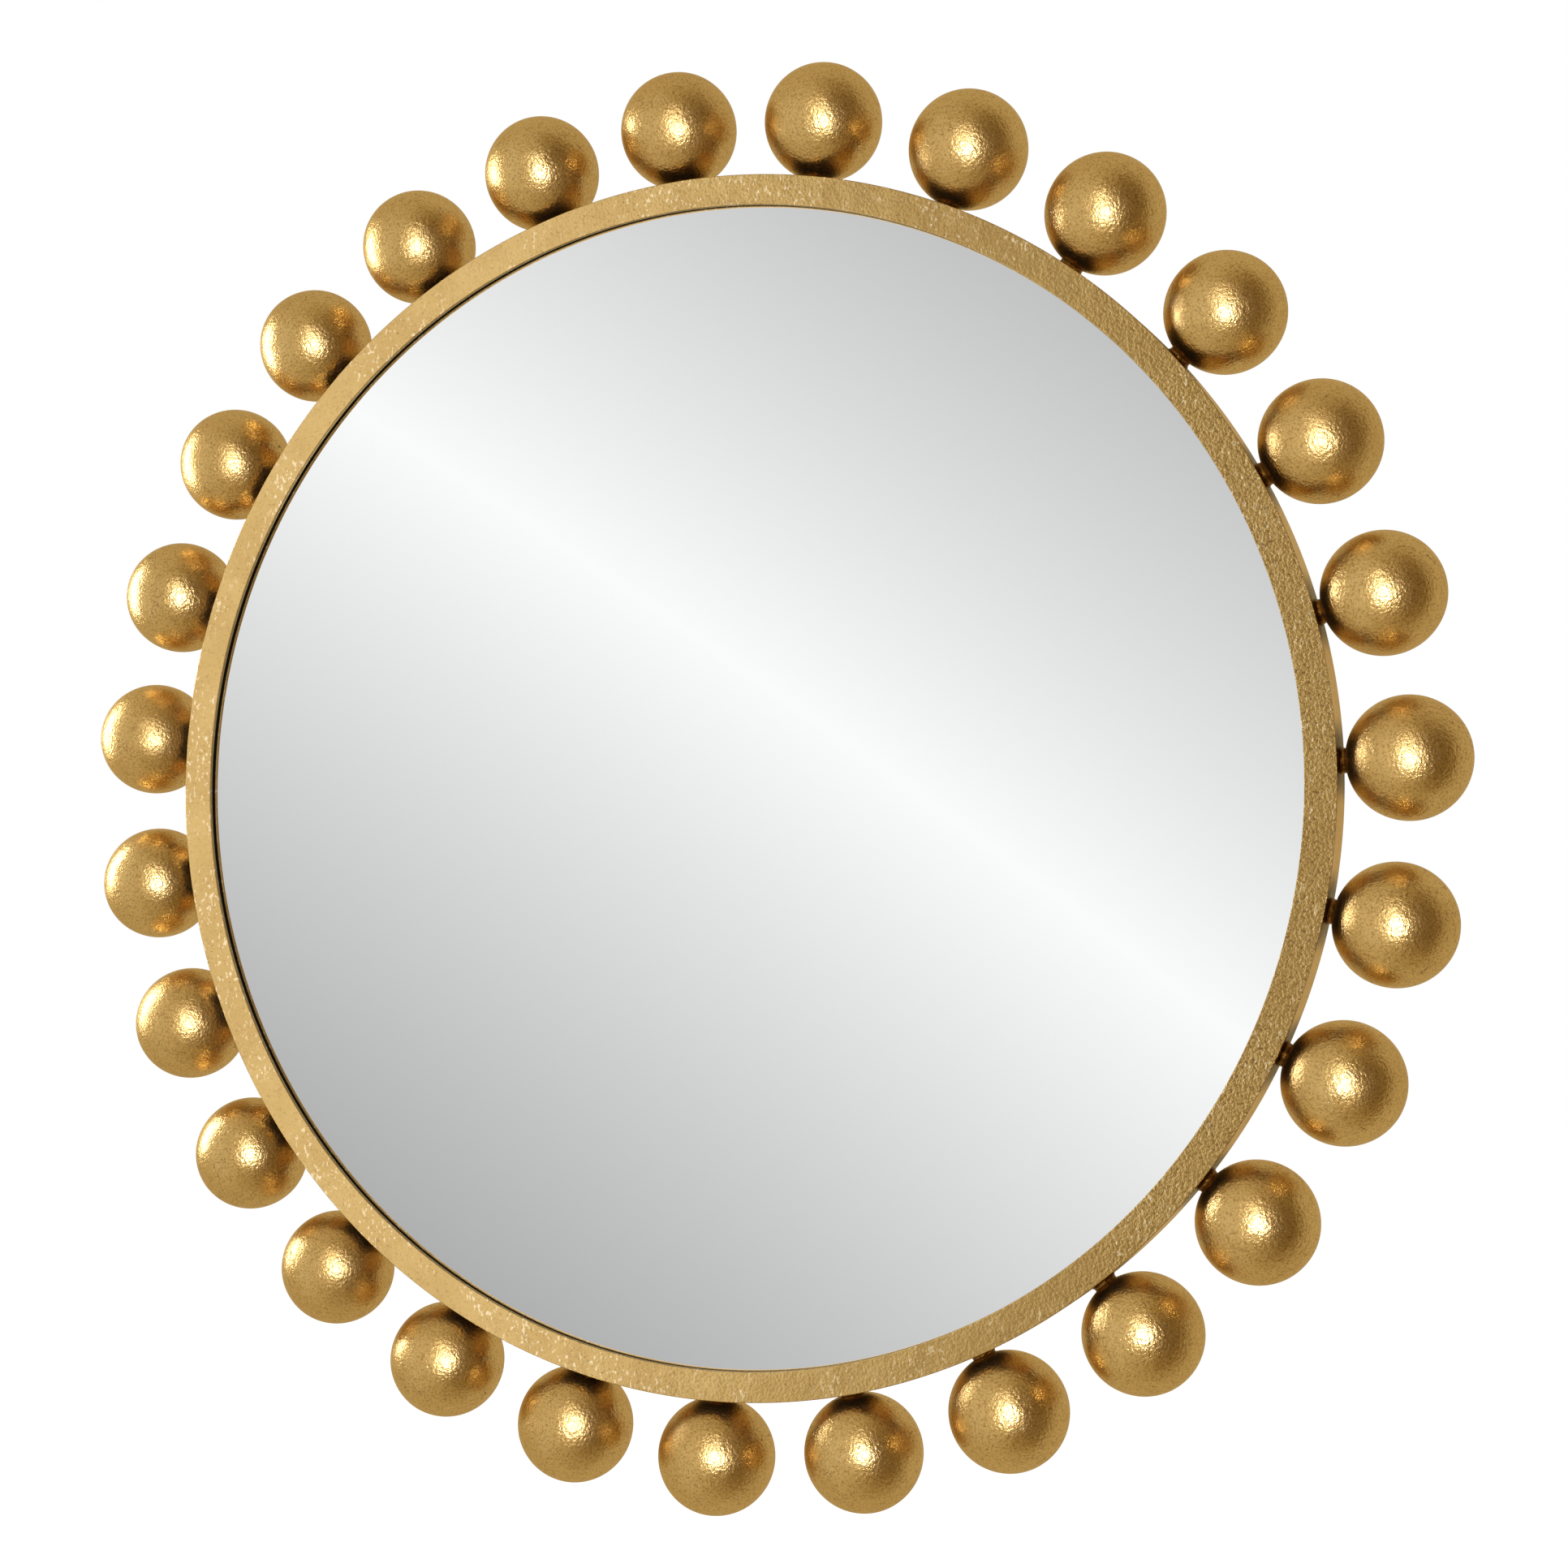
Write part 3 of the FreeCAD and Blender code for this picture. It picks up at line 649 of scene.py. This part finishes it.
def bent_tabs():
    """Angle tabs of bent strip: one leg on the board's back, one along the band's inner wall."""
    thick = TAB_BACK - BOARD_BACK
    sizes = {
        "Count": TAB_COUNT,
        "Foot radius": TAB_OUTER - TAB_REACH,
        "Wall radius": TAB_OUTER - thick / 2,
        "Board y": BOARD_BACK + thick / 2,
        "Lip y": BOARD_BACK + TAB_FLANGE,
        "Bend": 2.2 * MM,
        "Width": TAB_WIDTH,
        "Thickness": thick,
    }
    tree, graph, size = size_tree("bent_tab_tree", sizes)
    foot = graph.point(y=size["Board y"], z=size["Foot radius"])
    corner = graph.point(y=size["Board y"], z=size["Wall radius"])
    lip = graph.point(y=size["Lip y"], z=size["Wall radius"])
    line = graph.put("GeometryNodeCurvePrimitiveLine", {"Start": foot, "End": corner}, mode="POINTS")
    bent = graph.put("GeometryNodeResampleCurve", {"Curve": line, "Count": 3})
    index = graph.put("GeometryNodeInputIndex")
    for number, place in ((1, corner), (2, lip)):
        chosen = graph.put(
            "FunctionNodeCompare", {2: index, 3: number}, data_type="INT", operation="EQUAL"
        )
        bent = graph.put(
            "GeometryNodeSetPosition", {"Geometry": bent, "Selection": chosen, "Position": place}
        )
    curved = graph.put(
        "GeometryNodeFilletCurve", {"Curve": bent, "Radius": size["Bend"], "Count": 8}, mode="POLY"
    )
    strip = graph.put(
        "GeometryNodeCurvePrimitiveQuadrilateral", {"Width": size["Width"], "Height": size["Thickness"]}
    )
    edged = graph.put(
        "GeometryNodeFilletCurve", {"Curve": strip, "Radius": 0.35 * MM, "Count": 3}, mode="POLY"
    )
    tab = graph.put("GeometryNodeCurveToMesh", {"Curve": curved, "Profile Curve": edged, "Fill Caps": True})
    finish_tree(graph, round_array(graph, tab, size["Count"]), TAB_STEEL)
    tabs = grow("bent_tabs", tree, sizes)
    even_normals(tabs)
    fit(tabs, "tab_steel", "retaining_tabs")


def spun(name, outline, segments=40):
    """A mesh object made by turning an outline of (radius, height) about its Z axis."""
    mesh = bpy.data.meshes.new(name)
    turned = bmesh.new()
    points = [turned.verts.new((radius, 0.0, height)) for radius, height in outline]
    edges = [turned.edges.new(pair) for pair in zip(points, points[1:])]
    bmesh.ops.spin(turned, geom=points + edges, axis=(0, 0, 1), angle=TURN, steps=segments)
    bmesh.ops.remove_doubles(turned, verts=turned.verts, dist=0.002 * MM)
    bmesh.ops.recalc_face_normals(turned, faces=turned.faces)
    turned.to_mesh(mesh)
    turned.free()
    return add_object(name, mesh)


def cross_cutter():
    """The cross that the driver's tip leaves in a screw head, tapered to its floor."""
    mesh = bpy.data.meshes.new("cross_cutter")
    cross = bmesh.new()
    middle = RECESS_FLOOR + RECESS_HEIGHT / 2
    for quarter in (0.0, math.pi / 2):
        bar = bmesh.ops.create_cube(cross, size=1.0)["verts"]
        for corner in bar:
            x, y, z = corner.co
            taper = 0.55 if z < 0 else 1.0
            corner.co = (x * RECESS_LENGTH * taper, y * RECESS_WIDTH, z * RECESS_HEIGHT + middle)
        bmesh.ops.rotate(cross, verts=bar, matrix=Matrix.Rotation(quarter, 3, "Z"))
    cross.to_mesh(mesh)
    cross.free()
    return add_object("cross_cutter", mesh)


def round_head_screw():
    """One screw with its seat at the origin: domed head, cross recess, shank with a blunt point."""
    rim, shank = SCREW_HEAD / 2, SCREW_SHANK / 2
    side, dome = SCREW_TOP * 0.25, SCREW_TOP * 0.75
    angles = [math.pi / 2 * number / 9 for number in range(10)]
    outline = [(rim * math.sin(angle), side + dome * math.cos(angle)) for angle in angles]
    outline += [(rim * 0.97, 0.0), (shank, 0.0), (shank, -SCREW_GRIP * 0.8), (0.0, -SCREW_GRIP)]
    screw = spun("round_head_screw", outline)
    cutter = cross_cutter()
    recess = screw.modifiers.new("recess", "BOOLEAN")
    recess.object = cutter
    recess.use_self = True
    cut = evaluated_mesh(screw)
    screw.modifiers.clear()
    screw.data = cut
    bpy.data.objects.remove(cutter)
    return screw


def screw_item(graph, size):
    """The screw's mesh, with its head towards the wall."""
    item = graph.put("GeometryNodeObjectInfo", {"Object": size["Screw"]}).outputs["Geometry"]
    return graph.put("GeometryNodeTransform", {"Geometry": item, "Rotation": FACE_BACK})


def tab_screws(screw):
    """The screw through each tab."""
    sizes = {"Screw": screw, "Count": TAB_COUNT, "Radius": TAB_SCREW_RADIUS, "Seat y": TAB_BACK}
    tree, graph, size = size_tree("tab_screw_tree", sizes)
    seat = graph.point(y=size["Seat y"], z=size["Radius"])
    placed = graph.put(
        "GeometryNodeTransform", {"Geometry": screw_item(graph, size), "Translation": seat}
    )
    finish_tree(graph, round_array(graph, placed, size["Count"]), SCREW_ZINC)
    fit(grow("cross_head_tab_screws", tree, sizes), "screw_steel", "tab_screws")


def strap_screws(screw):
    """The two screws through each hanger strap."""
    sizes = {
        "Screw": screw,
        "Across": 0.0,
        "Seat y": STRAP_BACK,
        "Lowest": STRAP_SCREW_LOW,
        "Spacing": STRAP_SCREW_PITCH,
    }
    tree, graph, size = size_tree("strap_screw_tree", sizes)
    index = graph.put("GeometryNodeInputIndex")
    height = graph.math("MULTIPLY_ADD", index, size["Spacing"], size["Lowest"])
    seat = graph.point(size["Across"], size["Seat y"], height)
    points = graph.put("GeometryNodePoints", {"Count": 2, "Position": seat})
    copies = graph.put(
        "GeometryNodeInstanceOnPoints", {"Points": points, "Instance": screw_item(graph, size)}
    )
    finish_tree(graph, copies, SCREW_ZINC)
    for side, across in (("left", -HANGER_OFFSET), ("right", HANGER_OFFSET)):
        sizes["Across"] = across
        fit(grow("cross_head_screws_" + side, tree, sizes), "screw_steel", "hanger_screws_" + side)


def cross_head_screws():
    """All the screws, copied from one."""
    screw = round_head_screw()
    tab_screws(screw)
    strap_screws(screw)
    bpy.data.objects.remove(screw)


# ---------------------------------------------------------------------------
# Nodes that keep their own shape
# ---------------------------------------------------------------------------

def dress_nodes():
    """Finishes for the nodes that show as they are."""
    finishes = {
        "mirror_glass": MIRROR_SILVER,
        "glass_gasket": FOAM_BLACK,
        "backing_board": BOARD_BROWN,
        "hanger_strap_left": HANGER_ZINC,
        "hanger_strap_right": HANGER_ZINC,
        "hanger_loop_left": HANGER_ZINC,
        "hanger_loop_right": HANGER_ZINC,
    }
    for node, finish in finishes.items():
        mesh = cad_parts[node].data
        mesh.materials.clear()
        mesh.materials.append(finish)


# ---------------------------------------------------------------------------
# Studio
# ---------------------------------------------------------------------------

CAMERA_PLACE = Vector((0.6488, -1.7535, -0.0284))
CAMERA_TURN = Vector((1.5747, 0.2533, 0.2880))
CAMERA_LENS = 66.81

# From the mirror towards the camera, and across to its right.
TOWARD = Vector((0.3639, -0.9312, -0.0156))
RIGHT = Vector((0.9314, 0.3639, 0.0))
UP = Vector((0.0, 0.0, 1.0))

FLOOR_HEIGHT = -0.75
FLOOR_REACH = 6.0


def room_light(graph, across, up):
    """The room that the gold shows: bright on one side, with a dim patch and a pale wall behind."""
    room = graph.ramp(across, -0.75, 0.10, 0.80, 0.46)
    x = graph.math("DIVIDE", graph.minus(across, 0.33), 0.34)
    y = graph.math("DIVIDE", graph.minus(up, 0.04), 0.50)
    dim = graph.ramp(graph.hypot(x, y), 1.55, 0.45, 0.0, 0.60)
    room = graph.times(room, graph.minus(1.0, dim))
    wall = graph.ramp(graph.hypot(across, up), 0.58, 0.72)
    level = graph.plus(graph.times(room, graph.minus(1.0, wall)), graph.times(wall, 0.58))
    green = graph.times(level, graph.math("POWER", level, 0.3))
    blue = graph.times(level, graph.math("POWER", level, 1.1))
    return graph.put("ShaderNodeCombineColor", {0: level, 1: green, 2: blue})


def glass_view(graph, across, up):
    """What the glass shows: a bright slanting band that fades to grey on both sides."""
    slope = graph.plus(graph.times(across, 5.859), graph.times(up, 7.496))
    from_band = graph.math("ABSOLUTE", graph.plus(slope, 1.932))
    falling = graph.minus(1.0, graph.times(from_band, 0.285))
    shade = graph.math("POWER", graph.math("MAXIMUM", falling, 0.68), 2.2)
    return graph.put("ShaderNodeCombineColor", {0: shade, 1: shade, 2: shade})


def studio_world():
    """White to the camera; to gold and glass, what each would mirror in the studio."""
    world = bpy.data.worlds.new("white_studio")
    bpy.context.scene.world = world
    world.use_nodes = True
    world.node_tree.nodes.clear()
    graph = Graph(world.node_tree)
    ray = graph.put("ShaderNodeTexCoord").outputs["Generated"]
    facing = graph.vector("NORMALIZE", graph.vector("ADD", ray, TOWARD))
    across = graph.vector("DOT_PRODUCT", facing, RIGHT).outputs["Value"]
    up = graph.put("ShaderNodeSeparateXYZ", {0: facing}).outputs["Z"]

    path = graph.put("ShaderNodeLightPath")
    seen = graph.mix(
        path.outputs["Is Singular Ray"], room_light(graph, across, up), glass_view(graph, across, up)
    )
    mirrored = graph.put("ShaderNodeBackground", {"Color": seen, "Strength": 1.0})
    plain = graph.put("ShaderNodeBackground", {"Color": (1.0, 0.99, 0.97, 1.0), "Strength": 0.62})
    shown = graph.put("ShaderNodeBackground", {"Color": (1.0, 1.0, 1.0, 1.0), "Strength": 1.0})
    inner = graph.put("ShaderNodeMixShader", {0: path.outputs["Is Glossy Ray"], 1: plain, 2: mirrored})
    outer = graph.put("ShaderNodeMixShader", {0: path.outputs["Is Camera Ray"], 1: inner, 2: shown})
    graph.put("ShaderNodeOutputWorld", {0: outer})


def softbox(name, place, aim, size, radiance, only_on=None):
    """An oval studio light of that brightness, turned towards aim, and if asked only on some pieces."""
    width, height = size
    lamp = bpy.data.lights.new(name, "AREA")
    lamp.shape = "ELLIPSE"
    lamp.size = width
    lamp.size_y = height
    lamp.energy = radiance * math.pi * math.pi * width * height / 4
    holder = add_object(name, lamp)
    holder.location = place
    holder.rotation_euler = (Vector(aim) - Vector(place)).to_track_quat("-Z", "Y").to_euler()
    holder.visible_camera = False
    if only_on:
        lit = bpy.data.collections.new(name + "_lit")
        for piece in only_on:
            lit.objects.link(bpy.data.objects[piece])
        holder.light_linking.receiver_collection = lit


def lights():
    """Boxes round the camera for the balls' highlights, and panels of their own for the face."""
    gold = ["rolled_band", "seam_stitches"]
    gold += ["leafed_ball_%02d" % number for number in range(1, BALL_COUNT + 1)]
    face = ["face_plate"]
    middle, left, right = (0, 0, 0), (-0.38, 0, 0), (0.38, 0, 0)
    boxes = TOWARD * 2.6
    softbox("camera_box", boxes - RIGHT * 0.14 - UP * 0.10, middle, (0.40, 0.44), 78.0, gold)
    softbox("camera_box_upper", boxes - RIGHT * 0.55 + UP * 1.10, middle, (0.60, 0.90), 5.0, gold)
    softbox("left_strip", (-1.80, -0.02, 0.28), (-0.2, 0, 0), (0.26, 1.30), 20.0)
    softbox("ring_panel", (-0.80, -1.10, 0.0), left, (1.15, 2.40), 0.73, face)
    softbox("edge_light", (2.2, -1.7, 0.0), right, (0.80, 2.20), 3.5, face)


def white_floor():
    """A pale floor that the gold doesn't mirror."""
    mesh = bpy.data.meshes.new("floor")
    signs = ((-1, -1), (1, -1), (1, 1), (-1, 1))
    corners = [(x * FLOOR_REACH, y * FLOOR_REACH, FLOOR_HEIGHT) for x, y in signs]
    mesh.from_pydata(corners, [], [(0, 1, 2, 3)])
    floor = add_object("floor", mesh)
    floor.visible_glossy = False
    finish, graph, shader, _ = new_finish("floor_white")
    shader.inputs["Base Color"].default_value = (0.86, 0.86, 0.85, 1.0)
    shader.inputs["Roughness"].default_value = 0.9
    shader.inputs["Specular IOR Level"].default_value = 0.0
    shader.inputs["Emission Color"].default_value = (1.0, 1.0, 1.0, 1.0)
    glow = graph.times(graph.put("ShaderNodeLightPath").outputs["Is Camera Ray"], 0.5)
    graph.give(shader.inputs["Emission Strength"], glow)
    mesh.materials.append(finish)


def camera():
    """The photograph's viewing place."""
    lens = bpy.data.cameras.new("camera")
    lens.sensor_width = 36.0
    lens.lens = CAMERA_LENS
    holder = add_object("camera", lens)
    turn = Matrix.Rotation(CAMERA_TURN.length, 4, CAMERA_TURN.normalized())
    holder.matrix_world = Matrix.Translation(CAMERA_PLACE) @ turn
    bpy.context.scene.camera = holder


bpy.context.scene.view_settings.view_transform = "Standard"
camera()
face_and_band()
seam_stitches()
leafed_balls()
weld_collars()
bent_tabs()
cross_head_screws()
dress_nodes()
studio_world()
lights()
white_floor()
